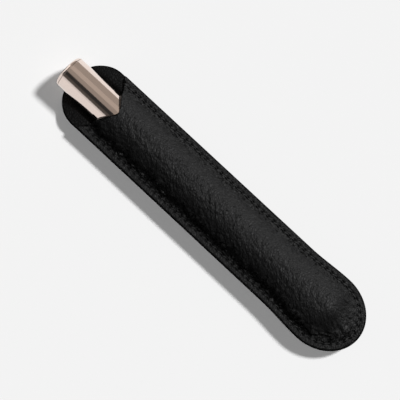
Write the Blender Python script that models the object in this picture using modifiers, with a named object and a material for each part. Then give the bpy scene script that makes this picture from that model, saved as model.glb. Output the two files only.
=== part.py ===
"""Leather sleeve for one fountain pen, with the capped pen in it.

The sleeve is a flat back with a round flap and a front moulded over the pen, both lined, glued and
sewn together round the edge. The front's mouth is cut to a V. The pen is a push-cap metal pen whose
front half unscrews from the barrel and carries a piston converter.

Frame: +X runs along the sleeve towards its mouth, +Z is up, and the sleeve lies on its back.
The origin is under the middle of the sleeve's own length, on the flat of the back.
"""

import math

import bmesh
import bpy

MM = 0.001

# Sleeve, seen from above
CASE_LENGTH = 149.6 * MM
CASE_WIDTH = 27.9 * MM  # where the pen draws the sides in
TAIL_WIDTH = 29.8 * MM  # the cut width, which the closed end keeps
TAIL_END_LENGTH = 17.5 * MM
HEAD_END_LENGTH = 13.5 * MM
WAIST_LENGTH = 18.5 * MM  # over which the sides swell from CASE_WIDTH to TAIL_WIDTH
MOUTH_CORNER_X = 59.3 * MM
MOUTH_POINT_X = 49.4 * MM

# Layers
LEATHER = 1.1 * MM
LINING = 0.4 * MM
LAYER_GAP = 0.15 * MM
EDGE_COAT = 0.35 * MM
EDGE_GAP = 0.15 * MM
MOUTH_GAP = 0.3 * MM  # between the front's cut mouth and its paint

# Pen
PEN_RADIUS = 6.8 * MM
PEN_LENGTH = 135.4 * MM
CAP_MOUTH = 74  # distance of the cap's lip from the pen's tail, in mm
PEN_TAIL_X = -57.9 * MM
PEN_CLEARANCE = 0.3 * MM
PARTING = 0.15 * MM  # between turned pieces that butt together

# Underside: flat in the middle, rising to the sewn flange
FLAT_HALF_WIDTH = 3.6 * MM
RISE_TAIL = 4.6 * MM
RISE_MIDDLE = 4.4 * MM
RISE_MOUTH = 4.2 * MM
RISE_TIP = 1.2 * MM  # at the flap's tip
RISE_OUTER = 9.4 * MM  # distance from the middle line where the flange begins

# Bulge of the front over the pen, measured on the pocket's inner face
BULGE_HALF_WIDTH = 7.75 * MM
BULGE_TAIL_HALF_WIDTH = 9.0 * MM
BULGE_POWER = 2.35
BULGE_TAIL_POWER = 1.45
BULGE_TAIL_LENGTH = 12.4 * MM

# Seam
SEAM_INSET = 2.6 * MM
STITCH = 2.7 * MM
THREAD_RADIUS = 0.24 * MM

TURN_STEPS = 24

# Values worked out from the ones above
TAIL_X = -CASE_LENGTH / 2
HEAD_X = CASE_LENGTH / 2
TAIL_CENTRE_X = TAIL_X + TAIL_END_LENGTH
HEAD_CENTRE_X = HEAD_X - HEAD_END_LENGTH
EDGE_STACK = EDGE_COAT + EDGE_GAP  # how far the leather stops short of the outline
LINED = LEATHER + LAYER_GAP + LINING
POCKET_FLOOR = LINED  # inner face of the back lining, over the flat
PEN_AXIS_Z = POCKET_FLOOR + PEN_CLEARANCE + PEN_RADIUS
POCKET_TOP = PEN_AXIS_Z + PEN_RADIUS + PEN_CLEARANCE
PEN_TAIL_SHOULDER_X = PEN_TAIL_X + 1.2 * MM


def smooth(share):
    """0 to 1 with level ends."""
    share = min(1.0, max(0.0, share))
    return share * share * (3 - 2 * share)


def blend(low, high, share):
    return low + (high - low) * share


def half_width(x, inset=0.0):
    """Half the sleeve's width at x, for an outline drawn in by inset."""
    tail = TAIL_CENTRE_X - x
    if tail > 0:
        share = min(1.0, tail / (TAIL_END_LENGTH - inset))
        return (TAIL_WIDTH / 2 - inset) * math.sqrt(1 - share * share)
    head = x - HEAD_CENTRE_X
    if head > 0:
        share = min(1.0, head / (HEAD_END_LENGTH - inset))
        return (CASE_WIDTH / 2 - inset) * math.sqrt(1 - share * share)
    swell = 1 - smooth(-tail / WAIST_LENGTH)
    return blend(CASE_WIDTH, TAIL_WIDTH, swell) / 2 - inset


def flange_rise(x):
    """Height of the sewn flange's underside over the flat, and of the flap's rim."""
    if x > HEAD_CENTRE_X:
        return blend(RISE_MOUTH, RISE_TIP, smooth((x - HEAD_CENTRE_X) / HEAD_END_LENGTH))
    if x > 0:
        return blend(RISE_MIDDLE, RISE_MOUTH, smooth(x / HEAD_CENTRE_X))
    return blend(RISE_MIDDLE, RISE_TAIL, smooth(x / TAIL_CENTRE_X))


def back_height(x, y):
    """Height of the back's underside."""
    across = (abs(y) - FLAT_HALF_WIDTH) / (RISE_OUTER - FLAT_HALF_WIDTH)
    along = (PEN_TAIL_SHOULDER_X - x) / BULGE_TAIL_LENGTH
    return flange_rise(x) * max(smooth(across), smooth(along))


def bulge_half_width(x, depth):
    """Half the width of the bulge where it meets the flange."""
    swell = 1 - smooth((x - TAIL_CENTRE_X) / WAIST_LENGTH)
    return blend(BULGE_HALF_WIDTH, BULGE_TAIL_HALF_WIDTH, swell) + depth


def front_height(x, y, depth):
    """Height of the front at a depth in its layers, from 0 at the pocket to LINED outside.

    The flange is level with its bottom layer's, and the bulge stands on it over the pen.
    """
    flange = flange_rise(x) + POCKET_FLOOR + LAYER_GAP
    along = max(0.0, (PEN_TAIL_SHOULDER_X - x) / (BULGE_TAIL_LENGTH + depth))
    across = abs(y) / bulge_half_width(x, depth)
    power = blend(BULGE_POWER, BULGE_TAIL_POWER, smooth(along))
    left = max(0.0, 1 - across**BULGE_POWER - along**2)
    return flange + depth + (POCKET_TOP - flange) * left ** (1 / power)


def mouth_x(y):
    """The V of the mouth, with its point rounded off."""
    rounding = 1.2 * MM
    share = (math.hypot(y, rounding) - rounding) / (CASE_WIDTH / 2 - rounding)
    return blend(MOUTH_POINT_X, MOUTH_CORNER_X, min(1.0, share))


# ---------------------------------------------------------------- building blocks


def clear_scene():
    for old in list(bpy.data.objects):
        bpy.data.objects.remove(old)


def new_collection(name):
    made = bpy.data.collections.new(name)
    bpy.context.scene.collection.children.link(made)
    return made


def new_material(name, colour, roughness, metallic=0.0):
    made = bpy.data.materials.new(name)
    made.use_nodes = True
    shader = made.node_tree.nodes["Principled BSDF"]
    shader.inputs["Base Color"].default_value = (*colour, 1)
    shader.inputs["Roughness"].default_value = roughness
    shader.inputs["Metallic"].default_value = metallic
    made.diffuse_color = (*colour, 1)
    return made


def add_object(name, data, material, parent):
    made = bpy.data.objects.new(name, data)
    made.data.materials.append(material)
    made.parent = parent
    CASE.objects.link(made)
    return made


def mesh_object(name, shape, material, parent):
    """An object from a bmesh, which is freed."""
    mesh = bpy.data.meshes.new(name)
    shape.to_mesh(mesh)
    shape.free()
    return add_object(name, mesh, material, parent)


def slab(rows, columns, place):
    """A gridded slab whose vertices go where place(row, column, face) says.

    Row 0 is nearest the mouth, column 0 is on the +Y side, and face is 0 below and 1 above.
    """
    shape = bmesh.new()
    bmesh.ops.create_grid(shape, x_segments=rows - 1, y_segments=columns - 1, size=1)
    raised = bmesh.ops.extrude_face_region(shape, geom=shape.faces[:])["geom"]
    raised = [item for item in raised if isinstance(item, bmesh.types.BMVert)]
    bmesh.ops.translate(shape, verts=raised, vec=(0, 0, 1))
    for vert in shape.verts:
        row = round((1 - vert.co.x) / 2 * (rows - 1))
        column = round((1 - vert.co.y) / 2 * (columns - 1))
        vert.co = place(row, column, round(vert.co.z))
    bmesh.ops.remove_doubles(shape, verts=shape.verts, dist=0.001 * MM)
    bmesh.ops.recalc_face_normals(shape, faces=shape.faces)
    return shape


def turned(name, profile, material, parent, closed=False):
    """A piece turned about the pen's axis, from (distance from the pen's tail, radius) in mm.

    A closed profile is a ring's section. An open one runs from the axis to the axis.
    """
    area = sum(
        (b[0] - a[0]) * (a[1] + b[1]) for a, b in zip(profile, profile[1:] + profile[:1])
    )
    points = profile if area < 0 else profile[::-1]
    shape = bmesh.new()
    verts = [shape.verts.new((along * MM, 0, radius * MM)) for along, radius in points]
    for start, end in zip(verts, verts[1:] + verts[:1] if closed else verts[1:]):
        shape.edges.new((start, end))
    obj = mesh_object(name, shape, material, parent)
    screw = obj.modifiers.new("Screw", "SCREW")
    screw.axis = "X"
    screw.steps = screw.render_steps = TURN_STEPS
    screw.use_merge_vertices = True
    screw.merge_threshold = 0.01 * MM
    obj.data.shade_smooth()
    return obj


def wire(name, points, radius, material, parent):
    curve = bpy.data.curves.new(name, "CURVE")
    curve.dimensions = "3D"
    curve.bevel_depth = radius
    curve.bevel_resolution = 0
    curve.use_fill_caps = True
    spline = curve.splines.new("POLY")
    spline.points.add(len(points) - 1)
    for spot, point in zip(spline.points, points):
        spot.co = (*point, 1)
    return add_object(name, curve, material, parent)


# ---------------------------------------------------------------- leather sleeve


def stations(first, last, rows, tail_rows):
    """X of each row of a panel, crowding into the round tail end."""
    straight = [blend(first, last, n / rows) for n in range(rows)]
    end = TAIL_END_LENGTH - EDGE_STACK
    turn = [math.sin(math.pi / 2 * n / tail_rows) for n in range(tail_rows + 1)]
    return straight + [TAIL_CENTRE_X - end * share for share in turn]


def front_layer(name, rows_x, depths, material):
    """One layer of the front, between two depths, with its first row cut to the V."""
    flange_steps, bulge_steps = 2, 14
    columns = 2 * flange_steps + bulge_steps
    slant_length = 22 * MM  # rows straighten out over this distance from the mouth

    def across(x, column, depth):
        """Y of a vertex: level steps over the flange, and crowded where the bulge is steep."""
        edge = half_width(x, EDGE_STACK)
        straight = half_width(max(x, TAIL_CENTRE_X), EDGE_STACK)
        foot = bulge_half_width(x, depth) * edge / straight
        outer = min(column, columns - column)
        if outer < flange_steps:
            y = blend(edge, foot, outer / flange_steps)
        else:
            y = foot * math.cos(math.pi * (outer - flange_steps) / bulge_steps)
        return y if column < columns / 2 else -y

    def place(row, column, face):
        x = rows_x[row]
        y = across(x, column, depths[face])
        slant = 1 - max(0.0, min(1.0, (MOUTH_POINT_X - x) / slant_length))
        x += (mouth_x(y) - MOUTH_POINT_X) * slant
        return (x, y, front_height(x, y, depths[face]))

    return mesh_object(name, slab(len(rows_x), columns + 1, place), material, SLEEVE)


def make_front():
    rows_x = stations(MOUTH_POINT_X, TAIL_CENTRE_X, 14, 8)
    front_layer("front_lining", rows_x, (0, LINING), LINING_SKIN)
    front_layer("front_panel", rows_x, (LINING + LAYER_GAP, LINED), GRAINED_LEATHER)
    coat_rows = [MOUTH_POINT_X + MOUTH_GAP + EDGE_COAT, MOUTH_POINT_X + MOUTH_GAP]
    front_layer("mouth_edge_coat", coat_rows, (0, LINED), EDGE_PAINT)


def back_layer(name, top, thickness, material):
    """One layer of the back, its upper face at height top over the flat."""
    across = [1, 0.82, 0.66, 0.56, 0.46, FLAT_HALF_WIDTH / (CASE_WIDTH / 2), 0]
    across = across + [-share for share in reversed(across[:-1])]
    head_rows = 6
    end = HEAD_END_LENGTH - EDGE_STACK
    turn = [math.cos(math.pi / 2 * n / head_rows) for n in range(head_rows)]
    rows_x = [HEAD_CENTRE_X + end * share for share in turn]
    rows_x += stations(HEAD_CENTRE_X, TAIL_CENTRE_X, 12, 8)

    def place(row, column, face):
        x = rows_x[row]
        y = half_width(x, EDGE_STACK) * across[column]
        return (x, y, back_height(x, y) + top - thickness * (1 - face))

    return mesh_object(name, slab(len(rows_x), len(across), place), material, SLEEVE)


def make_back():
    back_layer("back_panel", LEATHER, LEATHER, GRAINED_LEATHER)
    back_layer("back_lining", POCKET_FLOOR, LINING, LINING_SKIN)


def outline(inset, step):
    """(x, y) points round the sleeve, from the head's tip down the +Y side and back up."""
    head = HEAD_END_LENGTH - inset
    tail = TAIL_END_LENGTH - inset
    length = HEAD_CENTRE_X - TAIL_CENTRE_X
    head_steps, tail_steps, side_steps = (
        max(1, round(span / step)) for span in (1.5 * head, 1.5 * tail, length)
    )
    turns = [n / head_steps for n in range(head_steps)]
    xs = [HEAD_CENTRE_X + head * math.cos(math.pi / 2 * turn) for turn in turns]
    xs += [blend(HEAD_CENTRE_X, TAIL_CENTRE_X, n / side_steps) for n in range(side_steps)]
    turns = [n / tail_steps for n in range(tail_steps + 1)]
    xs += [TAIL_CENTRE_X - tail * math.sin(math.pi / 2 * turn) for turn in turns]
    side = [(x, half_width(x, inset)) for x in xs]
    return side + [(x, -y) for x, y in reversed(side[1:-1])]


def make_edge_coat():
    """The painted edge: a band round the cut layers, lower where only the flap's two pass."""
    inset = EDGE_COAT
    points = outline(inset, 1.4 * MM)
    count = len(points)
    shape = bmesh.new()
    bmesh.ops.create_cone(
        shape, cap_ends=False, segments=count, radius1=1, radius2=1, depth=2
    )
    for vert in shape.verts:
        turn = math.atan2(vert.co.y, vert.co.x) / math.tau
        x, y = points[round(turn * count) % count]
        height = back_height(x, y)
        if vert.co.z > 0:
            height += LINED if x > MOUTH_CORNER_X else 2 * LINED + LAYER_GAP
        vert.co = (x, y, height)
    bmesh.ops.recalc_face_normals(shape, faces=shape.faces)
    band = mesh_object("edge_coat", shape, EDGE_PAINT, SLEEVE)
    solidify = band.modifiers.new("Solidify", "SOLIDIFY")
    solidify.thickness = EDGE_COAT
    solidify.offset = 1
    solidify.use_even_offset = True


def make_threads():
    """Needle and bobbin thread: one stitch after another along both sides and round the tail."""
    crest = 0.3 * MM
    clear = 0.1 * MM
    whole = outline(SEAM_INSET, STITCH / 2)
    seam = [spot for spot in whole if spot[0] < MOUTH_CORNER_X - 2 * MM]
    under = [(x, y, back_height(x, y)) for x, y in seam]
    stack = 2 * LINED + LAYER_GAP
    for name, base, way in (("needle_thread", stack, 1), ("bobbin_thread", 0, -1)):
        points = []
        for n, (x, y, height) in enumerate(under):
            stand = THREAD_RADIUS + clear + crest * (n % 2)
            points.append((x, y, height + base + way * stand))
        wire(name, points, THREAD_RADIUS, SEWING_THREAD, SLEEVE)


# ---------------------------------------------------------------- pen


def end_dome(tip, way):
    """Profile of a domed pen end with a rounded edge, from its tip to the full radius, in mm."""
    dome, edge_radius, full = 0.7, 1.1, PEN_RADIUS / MM
    flat = full - edge_radius
    points = [(tip, 0)]
    points += [(tip + way * dome * share**2, flat * share) for share in (0.4, 0.75, 1)]
    for turn in (30, 60, 90):
        angle = math.radians(turn)
        along = tip + way * (dome + edge_radius * (1 - math.cos(angle)))
        points.append((along, flat + edge_radius * math.sin(angle)))
    return points


def make_barrel():
    radius, bore, gap = PEN_RADIUS / MM, 6.1, PARTING / MM
    end = end_dome(0, 1)
    shoulder = end[-1][0]
    spigot = [(shoulder, 5.9), (5, 5.9), (5, 0)]
    turned("barrel_end", end + spigot, CHAMPAGNE, BARREL)
    tube = [(shoulder + gap, bore), (shoulder + gap, radius)]
    tube += [(CAP_MOUTH - gap, radius), (CAP_MOUTH - gap, bore)]
    turned("barrel_tube", tube, CHAMPAGNE, BARREL, closed=True)
    bush = [(62, 4.8), (62, 5.9), (CAP_MOUTH - gap, 5.9), (CAP_MOUTH - gap, 4.8)]
    turned("barrel_bush", bush, BRASS, BARREL, closed=True)


def make_cap():
    radius, bore, gap = PEN_RADIUS / MM, 6.1, PARTING / MM
    tip = PEN_LENGTH / MM
    crown = end_dome(tip, -1)
    shoulder = crown[-1][0]
    crown += [(shoulder, 5.9), (tip - 5, 5.9), (tip - 5, 0)]
    turned("cap_crown", crown, CHAMPAGNE, CAP)
    lip = CAP_MOUTH + 2
    ring = [(CAP_MOUTH, 5.65), (CAP_MOUTH, radius), (lip, radius), (lip, 5.65)]
    turned("cap_lip_ring", ring, CHAMPAGNE, CAP, closed=True)
    tube = [(lip + gap, bore), (lip + gap, radius)]
    tube += [(shoulder - gap, radius), (shoulder - gap, bore)]
    turned("cap_tube", tube, CHAMPAGNE, CAP, closed=True)
    floor = tip - 5 - 2 * gap
    liner = [(floor - 1, 0), (floor - 1, 5.3), (lip + 1, 5.3)]
    liner += [(lip + 1, 5.9), (floor, 5.9), (floor, 0)]
    turned("inner_cap", liner, BLACK_RESIN, CAP)


def make_grip():
    bore = 3.1
    grip = [(64, bore), (64, 4.6), (CAP_MOUTH, 4.6), (CAP_MOUTH, 5.3), (75.8, 5.3)]
    grip += [(77, 5.0), (84, 4.6), (91, 4.3), (95, 4.4), (97.2, 4.8), (98.5, 4.6)]
    grip += [(98.5, bore)]
    turned("grip_section", grip, BLACK_RESIN, FRONT, closed=True)
    feed = [(70, 0), (70, 1.2), (88, 1.2), (88, 2.35), (104, 2.35)]
    feed += [(111, 1.9), (116.5, 0.8), (117, 0)]
    turned("feed", feed, BLACK_RESIN, FRONT)


def make_nib():
    """A plate rolled round the feed, its sides cut back to a point."""
    heel, shoulder, tip = 91, 106, 121
    inner, outer, droop, wrap, point = 2.55, 2.85, 0.9, 84, 9
    rows, columns = 13, 9

    def place(row, column, face):
        along = blend(tip, heel, row / (rows - 1))
        cut = max(0.0, (along - shoulder) / (tip - shoulder))
        spread = math.radians(blend(wrap, point, cut**0.8))
        angle = spread * (1 - 2 * column / (columns - 1))
        radius = outer if face else inner
        height = radius * math.cos(angle) - droop * cut**2
        return (along * MM, radius * math.sin(angle) * MM, height * MM)

    mesh_object("nib", slab(rows, columns, place), STEEL, FRONT)


def make_converter():
    gap = PARTING / MM
    tube = [(74, 1.45), (74, 2.9), (62, 2.9), (62, 3.6), (30, 3.6), (30, 3.0)]
    tube += [(61, 3.0), (61, 1.45)]
    turned("converter_tube", tube, CLEAR_RESIN, FRONT, closed=True)
    collar = [(24.3, 1.2), (24.3, 4.1), (36, 4.1), (36, 3.75), (29.8, 3.75), (29.8, 1.2)]
    turned("converter_collar", collar, STEEL, FRONT, closed=True)
    knob = [(8, 0), (8, 2.9), (8.7, 3.6), (24, 3.6), (24, 1.0), (9.2, 1.0), (9.2, 0)]
    turned("converter_knob", knob, BLACK_RESIN, KNOB)
    piston = [(9.5, 0), (9.5, 0.8), (33, 0.8), (33, 2.7), (35, 2.7), (35, 2.15)]
    piston += [(38, 2.15), (38, 2.7), (40, 2.7), (40, 0)]
    turned("converter_piston", piston, BLACK_RESIN, PISTON)
    seal = [(35 + gap, 2.3), (35 + gap, 2.85), (38 - gap, 2.85), (38 - gap, 2.3)]
    turned("piston_seal", seal, RUBBER, PISTON, closed=True)


def pivot(name, parent):
    """An empty on the pen's axis. What it carries moves with one joint."""
    made = bpy.data.objects.new(name, None)
    made.parent = parent
    made.empty_display_size = 5 * MM
    CASE.objects.link(made)
    return made


clear_scene()
CASE = new_collection("fountain_pen_case")

GRAINED_LEATHER = new_material("grained_leather", (0.012, 0.012, 0.013), 0.55)
LINING_SKIN = new_material("lining_skin", (0.010, 0.010, 0.010), 0.7)
EDGE_PAINT = new_material("edge_paint", (0.006, 0.006, 0.006), 0.35)
SEWING_THREAD = new_material("sewing_thread", (0.020, 0.020, 0.021), 0.5)
CHAMPAGNE = new_material("champagne_metal", (0.80, 0.66, 0.58), 0.18, 1.0)
BRASS = new_material("brass", (0.78, 0.60, 0.30), 0.3, 1.0)
STEEL = new_material("steel", (0.72, 0.72, 0.72), 0.2, 1.0)
BLACK_RESIN = new_material("black_resin", (0.012, 0.012, 0.012), 0.25)
CLEAR_RESIN = new_material("clear_resin", (0.82, 0.84, 0.85), 0.1)
RUBBER = new_material("rubber", (0.03, 0.03, 0.03), 0.8)

SLEEVE = pivot("sleeve", None)
BARREL = pivot("barrel", SLEEVE)
BARREL.location = (PEN_TAIL_X, 0, PEN_AXIS_Z)
FRONT = pivot("front_half", BARREL)
CAP = pivot("cap", FRONT)
KNOB = pivot("knob", FRONT)
PISTON = pivot("piston", FRONT)

make_front()
make_back()
make_edge_coat()
make_threads()
make_barrel()
make_cap()
make_grip()
make_nib()
make_converter()
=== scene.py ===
import math

import bmesh
import bpy
import numpy as np
from mathutils import Matrix, Vector, noise


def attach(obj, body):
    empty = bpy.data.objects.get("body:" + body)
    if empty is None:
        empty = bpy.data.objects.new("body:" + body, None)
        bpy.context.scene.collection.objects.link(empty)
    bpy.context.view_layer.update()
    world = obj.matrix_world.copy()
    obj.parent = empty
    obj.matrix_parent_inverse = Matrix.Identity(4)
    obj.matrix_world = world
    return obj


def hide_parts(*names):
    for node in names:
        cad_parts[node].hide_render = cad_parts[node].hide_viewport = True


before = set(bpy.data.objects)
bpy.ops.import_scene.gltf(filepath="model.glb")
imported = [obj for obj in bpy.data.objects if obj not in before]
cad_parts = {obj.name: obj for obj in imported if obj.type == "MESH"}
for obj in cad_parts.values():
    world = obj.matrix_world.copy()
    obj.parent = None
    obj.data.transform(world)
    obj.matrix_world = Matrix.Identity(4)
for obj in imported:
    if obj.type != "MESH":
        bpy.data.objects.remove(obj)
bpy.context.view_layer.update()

# ---------------------------------------------------------------- back panel
# One piece of black grained calfskin, 1.1 mm thick, with a round flap past the mouth. It lies flat
# down the middle, and its sewn rim curls up beside the pen. Lengths in this file are in millimetres
# until a mesh is made.

MM = 0.001
LEATHER = 1.1
LINING = 0.4
GLUE = 0.15
LINED = LEATHER + GLUE + LINING

SLEEVE_LENGTH = 149.6
STRAIGHT_WIDTH = 27.9
TAIL_WIDTH = 29.8
TAIL_END = 17.5
HEAD_END = 13.5
WAIST = 18.5
TAIL_CENTRE = TAIL_END - SLEEVE_LENGTH / 2
HEAD_CENTRE = SLEEVE_LENGTH / 2 - HEAD_END
EDGE_INSET = 0.55

RIM_RISE_TAIL = 4.6
RIM_RISE_MIDDLE = 4.4
RIM_RISE_MOUTH = 4.2
RIM_RISE_TIP = 1.2
FLAT_HALF_WIDTH = 3.6
RIM_START = 9.4
PEN_TAIL_SHOULDER = -56.7
TAIL_SLOPE = 12.4

# Painted shade: where the relief sinks deep, the leather's specular level fades to a small share,
# standing in for the shadow in creases and stitch holes.
CREASE_SHADE_FROM = 0.28
CREASE_SHADE_RANGE = 0.55
CREASE_SHADE_SHARE = 0.12


def smooth(share):
    share = np.clip(share, 0, 1)
    return share * share * (3 - 2 * share)


def blend(low, high, share):
    return low + (high - low) * share


def half_width(x, inset=0.0):
    """Half the sleeve's width, for an outline drawn in by inset."""
    x = np.asarray(x, float)
    swell = 1 - smooth((x - TAIL_CENTRE) / WAIST)
    sides = blend(STRAIGHT_WIDTH, TAIL_WIDTH, swell) / 2 - inset
    tail = np.clip((TAIL_CENTRE - x) / (TAIL_END - inset), 0, 1)
    head = np.clip((x - HEAD_CENTRE) / (HEAD_END - inset), 0, 1)
    return sides * np.sqrt(1 - tail**2) * np.sqrt(1 - head**2)


def rim_rise(x):
    """Height of the sewn rim's underside over the table."""
    x = np.asarray(x, float)
    towards_head = blend(RIM_RISE_MIDDLE, RIM_RISE_MOUTH, smooth(x / HEAD_CENTRE))
    towards_tail = blend(RIM_RISE_MIDDLE, RIM_RISE_TAIL, smooth(x / TAIL_CENTRE))
    flap = blend(RIM_RISE_MOUTH, RIM_RISE_TIP, smooth((x - HEAD_CENTRE) / HEAD_END))
    sleeve = np.where(x > 0, towards_head, towards_tail)
    return np.where(x > HEAD_CENTRE, flap, sleeve)


def back_height(x, y):
    """Height of the back panel's underside."""
    across = (np.abs(y) - FLAT_HALF_WIDTH) / (RIM_START - FLAT_HALF_WIDTH)
    along = (PEN_TAIL_SHOULDER - np.asarray(x, float)) / TAIL_SLOPE
    return rim_rise(x) * np.maximum(smooth(across), smooth(along))


def row_stations(first, rows, tail_rows, inset):
    """X of each row of a panel from first to the tail's tip, crowding into the round end."""
    straight = np.linspace(first, TAIL_CENTRE, rows, endpoint=False)
    turn = np.sin(np.linspace(0, math.pi / 2, tail_rows))
    return np.concatenate([straight, TAIL_CENTRE - (TAIL_END - inset) * turn])


def slab(rows, columns, place):
    """A closed slab on a grid, its lower face at place(row, column, 0) and its upper at 1.

    Row 0 is nearest the mouth and column 0 is on the +Y side. place gives x, y, z, and the spot on
    the unrolled skin, which the leather's grain follows. Returns the shape and its upper vertices.
    """
    shape = bmesh.new()
    skin = shape.verts.layers.float_vector.new("skin")
    bmesh.ops.create_grid(shape, x_segments=rows - 1, y_segments=columns - 1, size=1)
    raised = bmesh.ops.extrude_face_region(shape, geom=shape.faces[:])["geom"]
    upper = [part for part in raised if isinstance(part, bmesh.types.BMVert)]
    bmesh.ops.translate(shape, verts=upper, vec=(0, 0, 1))
    seats = np.array([vert.co for vert in shape.verts])
    row = np.rint((1 - seats[:, 0]) / 2 * (rows - 1)).astype(int)
    column = np.rint((1 - seats[:, 1]) / 2 * (columns - 1)).astype(int)
    face = np.rint(seats[:, 2]).astype(int)
    for vert, spot in zip(shape.verts, place(row, column, face)):
        vert.co = spot[:3] * MM
        vert[skin] = (spot[3], spot[4], 0)
    bmesh.ops.remove_doubles(shape, verts=shape.verts, dist=0.001 * MM)
    bmesh.ops.recalc_face_normals(shape, faces=shape.faces)
    shape.normal_update()
    return shape, [vert for vert in upper if vert.is_valid]


def emboss(shape, verts, relief):
    """Moves each vertex along its normal by relief(x, y, along skin, across skin) millimetres.

    The third part of the skin's record says how deep the spot lies, from 0 to 1; the leather uses it
    as painted shade, dimming its specular level there.
    """
    skin = shape.verts.layers.float_vector["skin"]
    raised = [relief(*(vert.co.xy / MM), *vert[skin].xy) for vert in verts]
    for vert, height in zip(verts, raised):
        vert.co += vert.normal * (height * MM)
        # Painted shade: how deep the spot sinks, kept so that the material can dim its specular
        # level there.
        deep = float(smooth((-height - CREASE_SHADE_FROM) / CREASE_SHADE_RANGE))
        vert[skin] = (*vert[skin].xy, deep)


def finish_piece(name, shape, material, body, replaces, sharp=40):
    """Turns a shape into a piece of the object that moves with its body."""
    mesh = bpy.data.meshes.new(name)
    shape.to_mesh(mesh)
    shape.free()
    mesh.shade_smooth()
    mesh.set_sharp_from_angle(angle=math.radians(sharp))
    mesh.materials.append(material)
    piece = bpy.data.objects.new(name, mesh)
    bpy.context.scene.collection.objects.link(piece)
    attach(piece, body)
    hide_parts(*replaces)
    return piece


def new_material(name, colour, roughness, metallic=0.0):
    material = bpy.data.materials.new(name)
    material.use_nodes = True
    shader = material.node_tree.nodes["Principled BSDF"]
    shader.inputs["Base Color"].default_value = (*colour, 1)
    shader.inputs["Roughness"].default_value = roughness
    shader.inputs["Metallic"].default_value = metallic
    material.diffuse_color = (*colour, 1)
    return material


def add_node(material, kind, links=(), **settings):
    """A node with its settings, and with inputs given as (name or number, value or output)."""
    tree = material.node_tree
    made = tree.nodes.new(kind)
    for name, value in settings.items():
        setattr(made, name, value)
    for name, value in links:
        if isinstance(value, bpy.types.NodeSocket):
            tree.links.new(value, made.inputs[name])
        else:
            made.inputs[name].default_value = value
    return made


def object_mm(material, turn=0.0, stretch=(1, 1, 1)):
    """Object coordinates in millimetres, turned about Z and then stretched."""
    place = add_node(material, "ShaderNodeTexCoord")
    scale = tuple(1000 * share for share in stretch)
    links = [("Vector", place.outputs["Object"]), ("Scale", scale)]
    links.append(("Rotation", (0, 0, math.radians(turn))))
    return add_node(material, "ShaderNodeMapping", links).outputs[0]


def skin_mm(material, stretch=(1, 1, 0)):
    """The spot on the unrolled skin in millimetres, stretched."""
    skin = add_node(material, "ShaderNodeAttribute", attribute_name="skin")
    links = [("Vector", skin.outputs["Vector"]), ("Scale", stretch)]
    return add_node(material, "ShaderNodeMapping", links).outputs[0]


def leather_material(name, grain, depth, colour, roughness, gleam=0.42):
    """Pebbled leather: cells of about grain millimetres between fine creases, over drawn wrinkles.

    gleam is its specular level, which falls to a small share of that where the skin lies deep, as
    painted shade in creases and stitch holes.
    """
    material = new_material(name, colour, roughness)
    tree = material.node_tree
    shader = tree.nodes["Principled BSDF"]
    skin = add_node(material, "ShaderNodeAttribute", attribute_name="skin")
    parts = add_node(material, "ShaderNodeSeparateXYZ", [(0, skin.outputs["Vector"])])
    # Painted shade: the specular level falls where the skin lies deep.
    shaded_gleam = add_node(
        material,
        "ShaderNodeMapRange",
        [("Value", parts.outputs["Z"]), ("To Min", gleam), ("To Max", CREASE_SHADE_SHARE * gleam)],
    )
    tree.links.new(shaded_gleam.outputs[0], shader.inputs["Specular IOR Level"])
    spot = skin_mm(material, stretch=(1, 0.62, 0))
    drift = add_node(
        material,
        "ShaderNodeTexNoise",
        [("Vector", spot), ("Scale", 0.45 / grain), ("Detail", 3.0)],
    )
    shift = add_node(
        material,
        "ShaderNodeVectorMath",
        [(0, drift.outputs["Color"]), (1, (1.6 * grain,) * 3), (2, spot)],
        operation="MULTIPLY_ADD",
    )
    cells = add_node(
        material,
        "ShaderNodeTexVoronoi",
        [("Vector", shift.outputs[0]), ("Scale", 1 / grain), ("Randomness", 1.0)],
        feature="DISTANCE_TO_EDGE",
        voronoi_dimensions="2D",
    )
    top = add_node(
        material,
        "ShaderNodeMapRange",
        [("Value", cells.outputs["Distance"]), ("From Max", 0.3)],
        interpolation_type="SMOOTHSTEP",
    )
    pores = add_node(
        material,
        "ShaderNodeTexNoise",
        [("Vector", skin_mm(material)), ("Scale", 4.5 / grain), ("Detail", 4.0)],
    )
    drawn = add_node(
        material,
        "ShaderNodeTexNoise",
        [
            ("Vector", skin_mm(material, stretch=(0.8, 0.22, 0))),
            ("Scale", 1.0),
            ("Detail", 4.0),
            ("Distortion", 0.6),
        ],
    )
    patches = add_node(
        material,
        "ShaderNodeTexNoise",
        [("Vector", skin_mm(material)), ("Scale", 0.09), ("Detail", 2.0)],
    )
    heights = (
        (drawn.outputs["Fac"], 3.0 * depth),
        (top.outputs[0], depth),
        (pores.outputs["Fac"], depth * 0.5),
    )
    normal = None
    for height, distance in heights:
        links = [("Height", height), ("Distance", distance * MM), ("Strength", 1.0)]
        if normal:
            links.append(("Normal", normal))
        normal = add_node(material, "ShaderNodeBump", links).outputs[0]
    tree.links.new(normal, shader.inputs["Normal"])
    shine = add_node(
        material,
        "ShaderNodeMix",
        [(0, top.outputs[0]), (2, roughness + 0.15), (3, roughness)],
    )
    worn = add_node(
        material,
        "ShaderNodeMath",
        [(0, patches.outputs["Fac"]), (1, 0.12), (2, shine.outputs[0])],
        operation="MULTIPLY_ADD",
    )
    tree.links.new(worn.outputs[0], shader.inputs["Roughness"])
    # Painted shade: the base colour darkens to 40 percent in the creases between the cells.
    crease_shaded_colour = add_node(
        material,
        "ShaderNodeMix",
        [
            (0, top.outputs[0]),
            (6, (*(0.4 * share for share in colour), 1)),
            (7, (*colour, 1)),
        ],
        data_type="RGBA",
    )
    tree.links.new(crease_shaded_colour.outputs[2], shader.inputs["Base Color"])
    return material


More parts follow.
